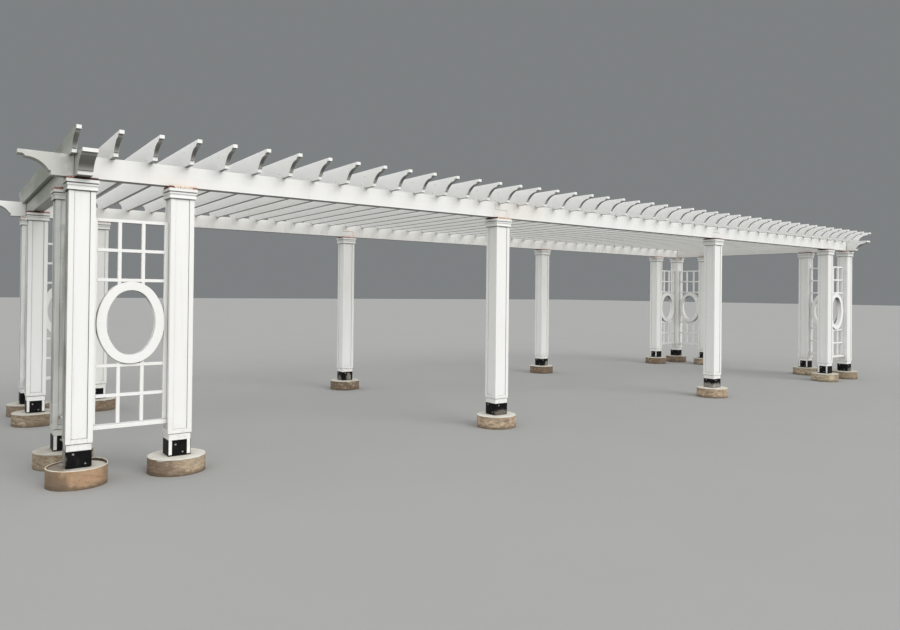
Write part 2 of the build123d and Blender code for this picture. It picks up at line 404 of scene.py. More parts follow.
WHITE = (0.92, 0.92, 0.91)
WARM_WHITE = (0.90, 0.89, 0.865)
UNDERSIDE_SHADE = (0.070, 0.067, 0.058)
GRIME_AND_SHADE = (0.42, 0.40, 0.34)
SOIL = (0.36, 0.30, 0.22)
PEACH = (0.83, 0.50, 0.36)
CREAM = (0.80, 0.74, 0.64)
ALGAE_AND_SHADE = (0.30, 0.32, 0.26)
SHADE_AND_DAMP = (0.150, 0.165, 0.105)
CREASE_SHADE = (0.10, 0.10, 0.08)
BOARD_STAIN = (0.52, 0.42, 0.34)
# Where dirt, wear and painted shade lie: how near faces are in a crease, and heights from the ground or an
# edge.
WIDE_CREASE = 0.030
FINE_CREASE = 0.014
SPLASH_TOP = 0.55
SPLASH_FULL = 0.16
CAP_SHADOW_H = 0.014
CAP_SHADOW_FULL = 0.003
CAP_SHADOW_END = 0.0005
MUD_H = 0.055
RUST_H = 0.012
SPECK_H = 0.012
PALE_RIM = 0.003
PALE_RIM_FULL = 0.008


def white_paint():
    """Satin white paint over timber: faint grain, brush marks, rain streaks and stains, with painted shade,
    partly grime, in creases, and painted shade on undersides, under the caps and on the left end's outer
    faces.
    """
    m = Shade("white_paint", roughness=0.42)
    grain = m.attribute("grain", "Vector")
    tone = m.attribute("tone")
    cloud = m.noise(m.place, 1.3, 4.0)
    warmth = m.math("ADD", m.times(tone, 0.55), m.span(cloud, 0.35, 0.7, 0, 0.45))
    m.colour = m.mix(warmth, WHITE, WARM_WHITE)
    fibre = m.noise(m.scaled(grain, 2.5, 70, 70), 1.0, 5.0, 0.6)
    brush = m.noise(m.scaled(grain, 7, 420, 420), 1.0, 3.0)
    m.coat(m.span(fibre, 0.45, 0.8, 0, 0.05), GRIME_AND_SHADE)
    # Painted shade, partly grime, where faces meet within a few centimetres.
    m.coat(m.times(m.crease(WIDE_CREASE), m.span(cloud, 0.2, 0.8, 0.3, 0.7)), GRIME_AND_SHADE)
    # Painted shade, dark, in tight creases, grooves and gaps.
    tight = m.crease(FINE_CREASE)
    m.coat(m.span(tight, 0.40, 0.80, 0, 0.75), CREASE_SHADE)
    spot = m.split(m.place)
    height = spot["Z"]
    streak = m.noise(m.scaled(m.place, 34, 34, 1.1), 1.0, 4.0, 0.6)
    normal = m.split(m.node("NewGeometry").outputs["Normal"])
    # Painted shade: faces that look downwards are darkened, as undersides in shade.
    m.coat(m.span(normal["Z"], -0.15, -0.8, 0, 0.92), UNDERSIDE_SHADE)
    upright = m.math("SUBTRACT", 1.0, m.math("ABSOLUTE", normal["Z"]))
    rainy = m.times(upright, m.span(cloud, 0.4, 0.7))
    rain = m.times(m.span(streak, 0.56, 0.78, 0, 0.16), rainy)
    m.coat(rain, GRIME_AND_SHADE)
    # Painted shade, with some damp weathering, on the outer faces of the left end, strongest towards the
    # front and darker still in its creases.
    left_end = m.span(spot["X"], 0.3 - END_X, -0.02 - END_X)
    outer = m.times(m.span(normal["X"], -0.4, -0.9), left_end)
    from_front = m.span(spot["Y"], -END_Y - 0.3, 0.4 - END_Y, 0.35, 1.0)
    high = m.times(m.span(height, CAP_BOTTOM, BEAM_BOTTOM), from_front)
    reach = m.math("MAXIMUM", m.span(spot["Y"], -END_Y, 0.0, 0.92, 0.30), high)
    shady = m.times(outer, reach)
    patches = m.noise(m.scaled(m.place, 2.0, 0.5, 2.4), 1.0, 4.0, 0.5)
    shade_and_damp = m.times(shady, m.span(patches, 0.35, 0.62, 0.70, 0.96))
    m.coat(shade_and_damp, SHADE_AND_DAMP)
    shaded_crease = m.times(m.span(tight, 0.10, 0.5), m.times(left_end, 0.8))
    m.coat(shaded_crease, CREASE_SHADE)
    speckle = m.span(m.noise(m.place, 26.0, 5.0), 0.42, 0.75, 0, 0.40)
    splash = m.times(m.span(height, SPLASH_TOP, SPLASH_FULL), speckle)
    m.coat(splash, SOIL)
    # Painted shadow in a band on the posts just under the caps.
    below_cap = m.math("LESS_THAN", height, CAP_BOTTOM - CAP_SHADOW_END)
    cap_shadow = m.span(height, CAP_BOTTOM - CAP_SHADOW_H, CAP_BOTTOM - CAP_SHADOW_FULL, 0, 0.65)
    m.coat(m.times(below_cap, cap_shadow), UNDERSIDE_SHADE)
    m.stain(PAINT_STAINS_AND_SHADE)
    roughness = m.span(brush, 0.3, 0.7, 0.36, 0.50)
    marks = m.math("ADD", m.times(fibre, 0.7), m.times(brush, 0.3))
    return m.finish(roughness, marks, 0.0012, 0.35)


def beam_spot(row, x, rise):
    """A point on the front face of a long beam. The front row is -1 and the back row is 1."""
    return (x, row * END_Y - BEAM_W / 2, BEAM_BOTTOM + rise)


FRONT_X = {n: POSTS[f"post_front_{n}"][0] for n in range(1, 7)}
LEFT_FRONT_Y = POSTS["post_left_front"][1]
PAINT_STAINS_AND_SHADE = [
    (0.12, PEACH, beam_spot(-1, FRONT_X[2] + 0.03, 0.0), (0.14, 0.08, 0.03)),
    (0.06, PEACH, beam_spot(-1, FRONT_X[2] - 0.10, 0.03), (0.30, 0.08, 0.06)),
    (0.30, CREAM, beam_spot(-1, FRONT_X[3] + 0.32, 0.10), (0.42, 0.08, 0.12)),
    (0.10, BOARD_STAIN, beam_spot(-1, FRONT_X[3] + 0.09, 0.05), (0.05, 0.08, 0.07)),
    (0.08, PEACH, beam_spot(-1, FRONT_X[3] - 0.02, 0.00), (0.13, 0.08, 0.03)),
    (0.60, PEACH, beam_spot(1, FRONT_X[3] - 0.01, 0.094), (0.075, 0.03, 0.007)),
    (0.60, PEACH, beam_spot(1, FRONT_X[3] + SCARF_L / 2, 0.048), (0.007, 0.03, 0.045)),
    # The wide patch on the left front post and the patch on the front beam's left end are painted shade; the
    # narrow streaks on the post are algae.
    (0.28, ALGAE_AND_SHADE, (-END_X, LEFT_FRONT_Y - 0.1, 1.40), (0.16, 0.03, 1.80)),
    (0.45, ALGAE_AND_SHADE, (-END_X - 0.02, LEFT_FRONT_Y - 0.1, 1.75), (0.025, 0.03, 0.35)),
    (0.40, ALGAE_AND_SHADE, (-END_X + 0.05, LEFT_FRONT_Y - 0.1, 0.75), (0.02, 0.03, 0.50)),
    (0.50, ALGAE_AND_SHADE, beam_spot(-1, -END_X - 0.34, 0.08), (0.30, 0.08, 0.16)),
    (0.30, GRIME_AND_SHADE, (FRONT_X[1] - 0.045, -END_Y - 0.094, 0.86), (0.002, 0.02, 0.17)),
]


def concrete():
    """Pale poured concrete: trowelled cream top, pitted grey side and soil near the ground."""
    m = Shade("concrete", roughness=0.85)
    height = m.split(m.place)["Z"]
    cloud = m.noise(m.place, 7.0, 5.0, 0.6)
    fine = m.noise(m.place, 160.0, 4.0, 0.6)
    dull = m.ramp(cloud, (0.30, (0.38, 0.34, 0.27)), (0.70, (0.56, 0.52, 0.44)))
    bright = m.ramp(cloud, (0.30, (0.80, 0.75, 0.66)), (0.60, (0.89, 0.86, 0.78)))
    m.colour = m.mix(m.attribute("tone"), dull, bright)
    m.coat(m.span(fine, 0.55, 0.75, 0, 0.25), (0.40, 0.36, 0.30))
    # Painted shade, dark brown, where faces meet, as against the tubes and boots.
    m.coat(m.times(m.crease(0.05), 0.6), (0.26, 0.22, 0.17))
    below_edge = m.span(height, PIER_TOP - 0.002, PIER_TOP - LIP_H)
    edge_stain = m.span(m.noise(m.place, 30.0, 4.0), 0.5, 0.7, 0, 0.35)
    m.coat(m.times(edge_stain, below_edge), SOIL)
    m.stain(CONCRETE_STAINS_AND_SHADE)
    pits = m.node("TexVoronoi", {"Vector": m.place, "Scale": 70.0}).outputs["Distance"]
    surface = m.math("ADD", m.times(fine, 0.5), m.span(pits, 0.0, 0.25))
    return m.finish(m.span(cloud, 0.3, 0.7, 0.75, 0.92), surface, 0.0015, 0.5)


def pier_spot(post, dx, dy, rise):
    """A point beside a post's axis, above the top of its pier."""
    x, y = POSTS[post]
    return (x + dx, y + dy, PIER_TOP + rise)


CONCRETE_STAINS_AND_SHADE = [
    # The first patch, inside the proud tube on its left, is painted shadow of the tube's rim over a brown
    # wash.
    (0.80, (0.20, 0.15, 0.10), pier_spot("post_front_1", -0.21, 0.02, 0.0), (0.15, 0.24, 0.05)),
    (0.55, (0.24, 0.18, 0.12), pier_spot("post_front_1", 0.10, 0.20, 0.0), (0.16, 0.10, 0.05)),
]
CARD_PATCHES = [
    # The first and third patches darken the left sides of the first two front tubes.
    (0.75, (0.17, 0.12, 0.08), pier_spot("post_front_1", -0.22, -0.13, -0.11), (0.13, 0.20, 0.13)),
    (0.30, (0.42, 0.14, 0.07), pier_spot("post_front_1", 0.10, -0.22, -0.065), (0.12, 0.10, 0.006)),
    (0.65, (0.18, 0.125, 0.085), pier_spot("post_front_2", -0.21, -0.12, -0.09), (0.15, 0.20, 0.12)),
    (0.35, (0.66, 0.54, 0.38), pier_spot("post_front_2", 0.12, -0.20, -0.06), (0.16, 0.12, 0.06)),
]


def form_card():
    """Weathered cardboard: tone picks from dark brown through tan to orange brown, with cracks and mud."""
    m = Shade("form_card", roughness=0.88)
    tone = m.attribute("tone")
    grain = m.attribute("grain", "Vector")
    height = m.split(m.place)["Z"]
    m.colour = m.ramp(
        tone,
        (0.0, (0.13, 0.085, 0.055)),
        (0.25, (0.26, 0.19, 0.13)),
        (0.5, (0.56, 0.47, 0.33)),
        (0.75, (0.52, 0.38, 0.26)),
        (1.0, (0.42, 0.24, 0.12)),
    )
    patch = m.noise(m.scaled(m.place, 16, 16, 34), 1.0, 6.0, 0.7)
    seams = m.noise(m.scaled(m.place, 8, 8, 42), 1.0, 5.0, 0.6)
    crack = m.span(m.math("ABSOLUTE", m.math("SUBTRACT", seams, 0.5)), 0.006, 0.035, 0.85, 0)
    old = m.span(tone, 0.90, 0.70, 0.3, 1.0)
    m.coat(m.times(m.span(patch, 0.50, 0.62, 0, 0.55), old), (0.70, 0.60, 0.45))
    m.coat(m.times(m.span(patch, 0.46, 0.36, 0, 0.75), old), (0.17, 0.115, 0.075))
    worn = m.times(old, m.span(patch, 0.60, 0.45, 0.2, 1.0))
    m.coat(m.times(crack, worn), (0.10, 0.065, 0.04))
    shade = m.noise(m.place, 3.0, 2.0)
    m.coat(m.span(shade, 0.42, 0.62, 0.55, 0), (0.22, 0.16, 0.11))
    fibre = m.noise(m.scaled(grain, 18, 320, 320), 1.0, 4.0)
    m.coat(m.span(fibre, 0.5, 0.75, 0, 0.25), (0.20, 0.14, 0.09))
    m.stain(CARD_PATCHES)
    wave = m.times(m.math("SUBTRACT", m.noise(m.place, 18.0, 4.0), 0.5), 0.09)
    mud_edge = m.math("ADD", height, wave)
    m.coat(m.span(mud_edge, MUD_H, 0.0, 0, 0.8), (0.14, 0.10, 0.065))
    # Painted shade, dark brown, where the card meets the concrete and boot.
    m.coat(m.times(m.crease(WIDE_CREASE), 0.5), (0.06, 0.045, 0.03))
    m.coat(m.span(height, PIER_TOP + PALE_RIM, PIER_TOP + PALE_RIM_FULL, 0, 0.95), (0.88, 0.80, 0.66))
    # Painted shade on the inner wall where the proud tube gapes from its concrete.
    inner = m.span(m.split(m.node("NewGeometry").outputs["Normal"])["X"], 0.0, -0.4)
    gape = m.spot(pier_spot(PROUD_POST, 0.19, 0.13, 0.004), (0.10, 0.14, 0.012))
    gape_shade = m.times(m.times(inner, gape), 0.9)
    m.coat(gape_shade, (0.05, 0.038, 0.025))
    surface = m.math("ADD", fibre, m.times(patch, 1.5))
    return m.finish(m.span(patch, 0.3, 0.7, 0.8, 0.95), surface, 0.0012, 0.6)


def black_steel():
    """Satin black coating over steel with dust, dried cement smears and a little rust at the foot."""
    m = Shade("black_steel", roughness=0.4)
    m.set("Specular IOR Level", 0.12)
    height = m.split(m.place)["Z"]
    cloud = m.noise(m.place, 16.0, 5.0, 0.6)
    streak = m.noise(m.scaled(m.place, 60, 60, 7), 1.0, 4.0, 0.6)
    fine = m.noise(m.place, 240.0, 3.0)
    m.colour = m.mix(m.span(cloud, 0.3, 0.7), (0.004, 0.004, 0.005), (0.009, 0.009, 0.009))
    low = m.span(height, BASE_TOP, PIER_TOP, 0.10, 1.0)
    dust = m.times(m.span(streak, 0.52, 0.80, 0, 0.12), low)
    m.coat(dust, (0.30, 0.27, 0.22))
    rust = m.span(cloud, 0.45, 0.65, 0, 0.35)
    foot = m.times(m.span(height, PIER_TOP + RUST_H, PIER_TOP), rust)
    m.coat(foot, (0.20, 0.11, 0.06))
    m.stain(STEEL_STAINS, m.span(streak, 0.25, 0.55, 0.35, 1.0))
    roughness = m.math("ADD", m.span(cloud, 0.3, 0.7, 0.42, 0.58), m.times(dust, 0.8), clamp=True)
    return m.finish(roughness, m.math("ADD", fine, cloud), 0.0006, 0.4)


CEMENT = (0.40, 0.38, 0.34)
PALE_DUST = (0.34, 0.31, 0.26)
STEEL_STAINS = [
    (0.75, CEMENT, pier_spot("post_front_4", -0.02, -0.09, 0.01), (0.12, 0.04, 0.07)),
    (0.70, CEMENT, pier_spot("post_front_4", -0.09, 0.00, 0.01), (0.04, 0.12, 0.06)),
    (0.45, PALE_DUST, pier_spot("post_front_3", 0.00, -0.09, 0.02), (0.09, 0.04, 0.05)),
    (0.65, CEMENT, pier_spot("post_back_4", 0.06, -0.09, 0.03), (0.05, 0.04, 0.06)),
    (0.65, CEMENT, pier_spot("post_back_3", 0.02, -0.09, 0.05), (0.04, 0.04, 0.07)),
    (0.45, CEMENT, pier_spot("post_back_3", -0.09, 0.00, 0.03), (0.04, 0.05, 0.05)),
    (0.50, PALE_DUST, pier_spot("post_front_6", 0.03, -0.09, 0.02), (0.07, 0.04, 0.05)),
    (0.70, CEMENT, pier_spot("post_front_1", -0.097, 0.01, 0.07), (0.02, 0.10, 0.09)),
]


def zinc():
    """Dull galvanised bolt heads and washers."""
    m = Shade("zinc", roughness=0.45, metallic=0.85)
    cloud = m.noise(m.place, 300.0, 4.0)
    m.colour = m.ramp(cloud, (0.3, (0.42, 0.40, 0.37)), (0.7, (0.66, 0.66, 0.64)))
    return m.finish(m.span(cloud, 0.3, 0.7, 0.38, 0.6), cloud, 0.0003, 0.4)


def screw_head():
    """Small coated deck screws, a little rusty."""
    m = Shade("screw_head", roughness=0.5, metallic=0.4)
    cloud = m.noise(m.place, 120.0, 4.0)
    m.colour = m.ramp(cloud, (0.35, (0.16, 0.11, 0.08)), (0.65, (0.36, 0.31, 0.26)))
    return m.finish(m.span(cloud, 0.3, 0.7, 0.45, 0.7), cloud, 0.0003, 0.4)


def shim_wood():
    """Bare packing boards: tone picks from dark brown through brick and salmon to pale orange."""
    m = Shade("shim_wood", roughness=0.75)
    tone = m.attribute("tone")
    grain = m.attribute("grain", "Vector")
    m.colour = m.ramp(
        tone,
        (0.0, (0.05, 0.022, 0.014)),
        (0.3, (0.30, 0.085, 0.055)),
        (0.6, (0.74, 0.42, 0.31)),
        (1.0, (0.96, 0.84, 0.68)),
    )
    fibre = m.noise(m.scaled(grain, 6, 130, 130), 1.0, 5.0, 0.6)
    lines = m.times(m.span(fibre, 0.45, 0.75, 0, 0.55), m.span(tone, 0.6, 1.0, 1.0, 0.4))
    m.coat(lines, (0.12, 0.05, 0.03))
    specks = m.noise(m.place, 90.0, 3.0)
    low = m.span(m.split(m.place)["Z"], SHAFT_TOP + SPECK_H, SHAFT_TOP, 0.52, 0.36)
    speck = m.math("GREATER_THAN", specks, low)
    m.coat(m.times(speck, 0.60), (0.07, 0.03, 0.02))
    return m.finish(m.span(fibre, 0.3, 0.7, 0.65, 0.85), fibre, 0.001, 0.6)


PAINT = white_paint()
STEEL = black_steel()


# Posts.


def post(name):
    """Boxed post: mitred stiles, a low rail, loose sunk panels, a narrower band and, on some, four legs."""
    x, y = POSTS[name]
    boards = Boards(f"{name}_boards")
    half = POST_W / 2
    sunk = half - PANEL_DEPTH
    core = sunk - PANEL_T
    edge = half - STILE_W
    band = BAND_W / 2
    lining = band - BOARD_T
    band_section = [(-band, -band), (band, -band), (lining, -lining), (-lining, -lining)]
    band_top = BASE_TOP + BAND_H
    low_rail = band_top + LOW_RAIL_H
    boards.box((-core, -core, band_top), (core, core, SHAFT_TOP), 2, turned(x, y))
    for quarter in range(4):
        place = turned(x, y, quarter)
        left = [(-half, -half), (-edge, -half), (-edge, -core), (-core, -core)]
        for outline in (left, mirrored(left)):
            boards.prism(outline, band_top, SHAFT_TOP, 2, 2, place, FINE_EASE)
        boards.box((-edge, -half, band_top), (edge, -core, low_rail), 0, place, FINE_EASE)
        panel_low = (-edge + PANEL_TIGHT, -sunk, low_rail + PANEL_TIGHT)
        boards.box(panel_low, (edge - PANEL_LOOSE, -core, SHAFT_TOP), 2, place, FINE_EASE)
        boards.prism(band_section, BASE_TOP, band_top - SHADOW_GAP, 2, 0, place, FINE_EASE)
        if name in LEGGED:
            inner = band - LEG_W
            boards.box((-band, -band, LEG_BOTTOM), (-inner, -inner, BASE_TOP), 2, place)
    boards.object(PAINT, name)


# Caps and shims.

# Parts of the moulding's section, as (distance from the post's axis, height), with a hollow between them.
CAP_FOOT = [(0.115, 0.000), (0.115, 0.012)]
CAP_HEAD = [(0.117, 0.041), (0.117, 0.053), (0.108, 0.053), (0.108, 0.062), (0.121, 0.062), (0.121, 0.089)]
CAP_HOLLOW = 0.005
HOLLOW_STEPS = 6


def cap_profile():
    """Section of the moulding, round from the shaft and back to it."""
    low, high = Vector(CAP_FOOT[-1]), Vector(CAP_HEAD[0])
    hollow = []
    for k in range(1, HOLLOW_STEPS):
        share = k / HOLLOW_STEPS
        point = low.lerp(high, share)
        hollow.append((point.x - CAP_HOLLOW * math.sin(math.pi * share), point.y))
    shaft = POST_W / 2 + JOINT_GAP / 2
    return [(shaft, 0.0), *CAP_FOOT, *hollow, *CAP_HEAD, (shaft, CAP_HEAD[-1][1])]


def caps():
    """Four mitred lengths of moulding round the head of each post."""
    boards = Boards("post_cap_mouldings")
    profile = cap_profile()
    mitre = JOINT_GAP / 4
    for x, y in POSTS.values():
        for quarter in range(4):
            bm = bmesh.new()
            loops = []
            for sign in (-1, 1):
                loops.append([bm.verts.new((sign * (r - mitre), -r, CAP_BOTTOM + z)) for r, z in profile])
            skin(bm, loops)
            boards.add(bm, 0, turned(x, y, quarter), FINE_EASE)
    boards.object(PAINT, "post_caps")


SHIM_SIDE = 0.117
SHIM_HALF = 0.106
SHIM_SHORT = {"back": 0.006, "front": 0.004}
SHIM_SPLIT = (-0.02, 0.02)
SHIM_TONES = (0.1, 0.9)
# Where each board on a post ends, from left to right, and its tone.
# The posts that aren't named carry two boards picked by chance.
SHIM_BOARDS = {
    "post_front_1": [(-0.060, 0.50), (SHIM_SIDE, 0.02)],
    "post_front_2": [(-0.075, 0.24), (0.085, 0.96), (SHIM_SIDE, 0.42)],
    "post_front_3": [(-0.085, 0.04), (SHIM_SIDE, 0.80)],
    "post_front_4": [(0.010, 0.08), (SHIM_SIDE, 0.12)],
    "post_front_5": [(-0.010, 0.10), (SHIM_SIDE, 0.20)],
    "post_left_front": [(-0.020, 0.44), (SHIM_SIDE, 0.24)],
    "post_left_back": [(0.015, 0.12), (SHIM_SIDE, 0.48)],
    "post_back_1": [(0.000, 0.90), (SHIM_SIDE, 1.00)],
    "post_back_2": [(0.020, 0.95), (SHIM_SIDE, 0.85)],
}


def shims():
    """Two or three packing boards on each post, a little uneven at their ends."""
    boards = Boards("shim_boards", "shim_wood")
    for name, (x, y) in POSTS.items():
        pick = boards.random
        split, *tones = (pick.uniform(*reach) for reach in (SHIM_SPLIT, SHIM_TONES, SHIM_TONES))
        plain = [(split, tones[0]), (SHIM_SIDE, tones[1])]
        start = -SHIM_SIDE
        for end, tone in SHIM_BOARDS.get(name, plain):
            back = SHIM_HALF - pick.uniform(0, SHIM_SHORT["back"])
            front = SHIM_HALF - pick.uniform(0, SHIM_SHORT["front"])
            low = (start + JOINT_GAP, -front, SHAFT_TOP)
            high = (end - JOINT_GAP, back, BEAM_BOTTOM)
            boards.box(low, high, 1, turned(x, y), TIMBER_EASE, tone)
            start = end
    boards.object(shim_wood(), "cap_shims")


# Beams.


def scarf(gap):
    """Corners of a scarf from the top down, a gap to one side of its joint."""
    upper, lower, level = MIDDLE_X + SCARF_L / 2 + gap, MIDDLE_X - SCARF_L / 2 + gap, LAP_LEVEL - gap
    return [(upper, BEAM_TOP), (upper, level), (lower, level), (lower, BEAM_BOTTOM)]


def long_outlines():
    """Outlines of a long beam's three lengths: shaped ends, laps for the side beams and scarfs."""
    lap = notch(END_X, -LAP_HALF, BEAM_TOP, LAP_LEVEL)
    right = [*tail(END_X, BEAM_BOTTOM, BEAM_TOP), *lap, *scarf(JOINT_GAP / 2)]
    inner = scarf(-JOINT_GAP / 2)
    return {"left": mirrored(right), "middle": mirrored(inner) + inner, "right": right}


def beams():
    """Long beams in three lengths on each side, and the side beams lapped down into them."""
    half = BEAM_W / 2
    for side, y in (("front", -END_Y), ("back", END_Y)):
        for part, outline in long_outlines().items():
            boards = Boards(f"beam_{side}_{part}_timber")
            boards.prism(outline, y - half, y + half, ease=TIMBER_EASE)
            boards.object(PAINT, f"beam_{side}_{part}")
    outline = notch(END_Y, LAP_HALF, BEAM_BOTTOM, LAP_LEVEL) + tail(END_Y, BEAM_BOTTOM, BEAM_TOP)
    outline += mirrored(outline)
    for side, x in (("left", -END_X), ("right", END_X)):
        boards = Boards(f"beam_{side}_side_timber")
        boards.prism(outline, -half, half, place=turned(x, 0, 1), ease=TIMBER_EASE)
        boards.object(PAINT, f"beam_{side}_side")


# Rafters.


def rafter_outline(shift, lift):
    """Outline of one rafter along its length, with a notch over each beam.

    `shift` moves its ends endways a little. `lift` is how much shallower the front notch is cut.
    """
    end = tail(END_Y, RAFTER_BOTTOM, RAFTER_TOP)
    heel = min(y for y, _ in end)
    front, back = [
        notch(END_Y, LAP_HALF + NOTCH_SLACK, RAFTER_BOTTOM, RAFTER_BOTTOM + depth) + end
        for depth in (RAFTER_NOTCH - lift, RAFTER_NOTCH)
    ]
    outline = back + mirrored(front)
    return [(y + shift if abs(y) >= heel else y, z) for y, z in outline]


# How much higher the front ends of some rafters sit, by the number of rafters to their left.
RAFTER_LIFTS = {0: 0.006, 3: 0.017, 5: 0.016, 10: 0.007, 15: 0.002, 22: 0.008, 30: 0.001, 45: 0.0}
LIFT_WANDER = 0.0015
END_WANDER = 0.003


def lift_at(x):
    """Lift of the rafter at x, between the rafters named above."""
    stops = list(RAFTER_LIFTS.items())
    place = (x / END_X + 1) / 2 * stops[-1][0]
    for (low, low_lift), (high, high_lift) in zip(stops, stops[1:]):
        if place <= high:
            share = max(0.0, (place - low) / (high - low))
            return low_lift + (high_lift - low_lift) * share
    return 0.0


def rafter_xs(node):
    """Middle of each rafter in a group, evenly spaced between its outermost two."""
    low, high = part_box(node)
    count = RAFTER_COUNTS[node]
    first = low.x + RAFTER_T / 2
    last = high.x - RAFTER_T / 2
    return [first + (last - first) * k / (count - 1) for k in range(count)]


def rafters():
    half = RAFTER_T / 2
    for node in RAFTER_COUNTS:
        boards = Boards(f"{node}_timber")
        for x in rafter_xs(node):
            shift = boards.random.uniform(-END_WANDER, END_WANDER)
            lift = lift_at(x) + boards.random.uniform(0, LIFT_WANDER)
            seat = Vector((END_Y, 0, RAFTER_BOTTOM + RAFTER_NOTCH))
            tilt = Matrix.Rotation(lift / (2 * END_Y), 4, "Y")
            place = turned(x, 0, 1) @ Matrix.Translation(seat) @ tilt @ Matrix.Translation(-seat)
            boards.prism(rafter_outline(shift, lift), -half, half, place=place, ease=TIMBER_EASE)
        boards.object(PAINT, node)


SCREW_R = 0.0048
SCREW_OUT = 0.0015
SCREW_INWARD = (0.000, 0.030)
SCREW_RISE = (0.038, 0.052)
SECOND_SCREW = {"share": 0.35, "outward": 0.06, "higher": 0.085}


def disc(boards, centre, normal, radius, thickness, sides=12):
    """A short round or many-sided head standing on a face that looks along `normal`."""
    bm = bmesh.new()
    bmesh.ops.create_cone(bm, cap_ends=True, segments=sides, radius1=radius, radius2=radius, depth=thickness)
    turn = Vector((0, 0, 1)).rotation_difference(Vector(normal)).to_matrix().to_4x4()
    place = Matrix.Translation(Vector(centre) + Vector(normal) * thickness / 2)
    boards.add(bm, 0, place @ turn, thickness / 4)


def screws():
    """A screw low on the side of each rafter over each beam, and here and there a second one higher up."""
    boards = Boards("rafter_screws", "black_steel")
    for node in RAFTER_COUNTS:
        for x in rafter_xs(node):
            for sign in (-1, 1):
                along = END_Y - boards.random.uniform(*SCREW_INWARD)
                rise = RAFTER_BOTTOM + boards.random.uniform(*SCREW_RISE)
                if sign < 0:
                    rise += lift_at(x)
                face = x - RAFTER_T / 2
                disc(boards, (face, sign * along, rise), (-1, 0, 0), SCREW_R, SCREW_OUT)
                if boards.random.random() < SECOND_SCREW["share"]:
                    outward = sign * (along + SECOND_SCREW["outward"])
                    spot = (face, outward, rise + SECOND_SCREW["higher"])
                    disc(boards, spot, (-1, 0, 0), SCREW_R, SCREW_OUT)
    boards.object(screw_head())


# Trellises.


def oval(long, short, inward):
    """Points round an upright four-centred oval with the given half axes, moved inward by a distance."""
    diagonal = math.hypot(long, short)
    end_r = diagonal * (diagonal - long + short) / (2 * long)
    side_r = diagonal * (diagonal + long - short) / (2 * short)
    join = math.sin(math.atan2(long - end_r, side_r - short))
    points = []
    for k in range(RING_STEPS):
        angle = 2 * math.pi * k / RING_STEPS
        x, z = math.cos(angle), math.sin(angle)
        if abs(z) < join:
            centre_x, centre_z, radius = -math.copysign(side_r - short, x), 0, side_r - inward
        else:
            centre_x, centre_z, radius = 0, math.copysign(long - end_r, z), end_r - inward
        points.append((centre_x + radius * x, centre_z + radius * z))
    return points


def ring(boards, span, rise, centre_z, place):
    """Oval ring with eased edges."""
    bm = bmesh.new()
    loops = []
    for inward, side in ((0, -1), (RING_BAND, -1), (RING_BAND, 1), (0, 1)):
        points = oval(rise, span, inward)
        loops.append([bm.verts.new((x, side * RING_D / 2, centre_z + z)) for x, z in points])
    skin(bm, loops, closed=True)
    boards.add(bm, 0, place, RING_EASE)


def cut_by_ring(span, rise, centre_z, across, low, high):
    """Stretches of an upright bar between two levels that lie outside the middle of the ring's band."""
    ratio = across / (span - RING_BAND / 2)
    half = (rise - RING_BAND / 2) * math.sqrt(1 - ratio**2)
    return [(low, centre_z - half), (centre_z + half, high)]


def trellis(node):
    """Trellis panel: sill, rails, stiles, bars lapped over the rails, and an oval ring in the middle."""
    low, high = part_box(node)
    size = high - low
    width = max(size.x, size.y)
    place = turned(middle(node).x, middle(node).y, 0 if size.x > size.y else 1)
    bottom, top = low.z, high.z
    boards = Boards(f"{node}_bars")
    opening = width - 2 * (PANEL_DEPTH - PANEL_FIT) - 2 * BAR_W
    half, inner = width / 2, opening / 2
    front, back = -BAR_D / 2, BAR_D / 2
    rows = [top - BAR_W - n * ROW_PITCH for n in range(3)]
    rows += [bottom + SILL_H + n * ROW_PITCH - BAR_W for n in (1, 2)]
    ring_top, ring_bottom = rows[2], rows[4] + BAR_W
    ring_z = (ring_top + ring_bottom) / 2
    rise = (ring_top - ring_bottom) / 2 + RING_LET_IN
    span = inner + RING_LET_IN
    crown = bottom + SILL_H
    sill = [(SILL_W / 2, bottom), (SILL_W / 2, crown - SILL_SLOPE), (BAR_D / 2, crown)]
    sill += mirrored(sill)
    boards.prism(sill, -half, half, 0, 0, place, TIMBER_EASE)
    for side in (-1, 1):
        edges = sorted((side * half, side * inner))
        boards.box((edges[0], front, crown), (edges[1], back, top), 2, place)
        bar = side * (opening + BAR_W) / 6
        for start, end in cut_by_ring(span, rise, ring_z, bar, crown, top):
            boards.box((bar - BAR_W / 2, front, start), (bar + BAR_W / 2, back, end), 2, place)
    for z in rows:
        boards.box((-inner, front - RAIL_PROUD, z), (inner, back + RAIL_PROUD, z + BAR_W), 0, place)
    ring(boards, span, rise, ring_z, place)
    boards.object(PAINT, node)


# Piers, tubes, boots and bolts.


def lathe(boards, x, y, profile, shape, tone, closed=False):
    """Turns a profile of (radius, height) about a post's axis; `shape` moves each point by its angle."""
    bm = bmesh.new()
    loops = []
    for radius, z in profile:
        loop = []
        for k in range(ROUND_STEPS):
            angle = 2 * math.pi * k / ROUND_STEPS
            r, level = shape(angle, radius, z)
            loop.append(bm.verts.new((r * math.cos(angle), r * math.sin(angle), level)))
        loops.append(loop)
    skin(bm, loops, closed)
    boards.add(bm, 0, turned(x, y), 0, tone)


def ripple(angle, scale, *at):
    """Noise that closes on itself round a circle."""
    return noise.noise(Vector((math.cos(angle) * scale, math.sin(angle) * scale, 0)) + Vector(at))


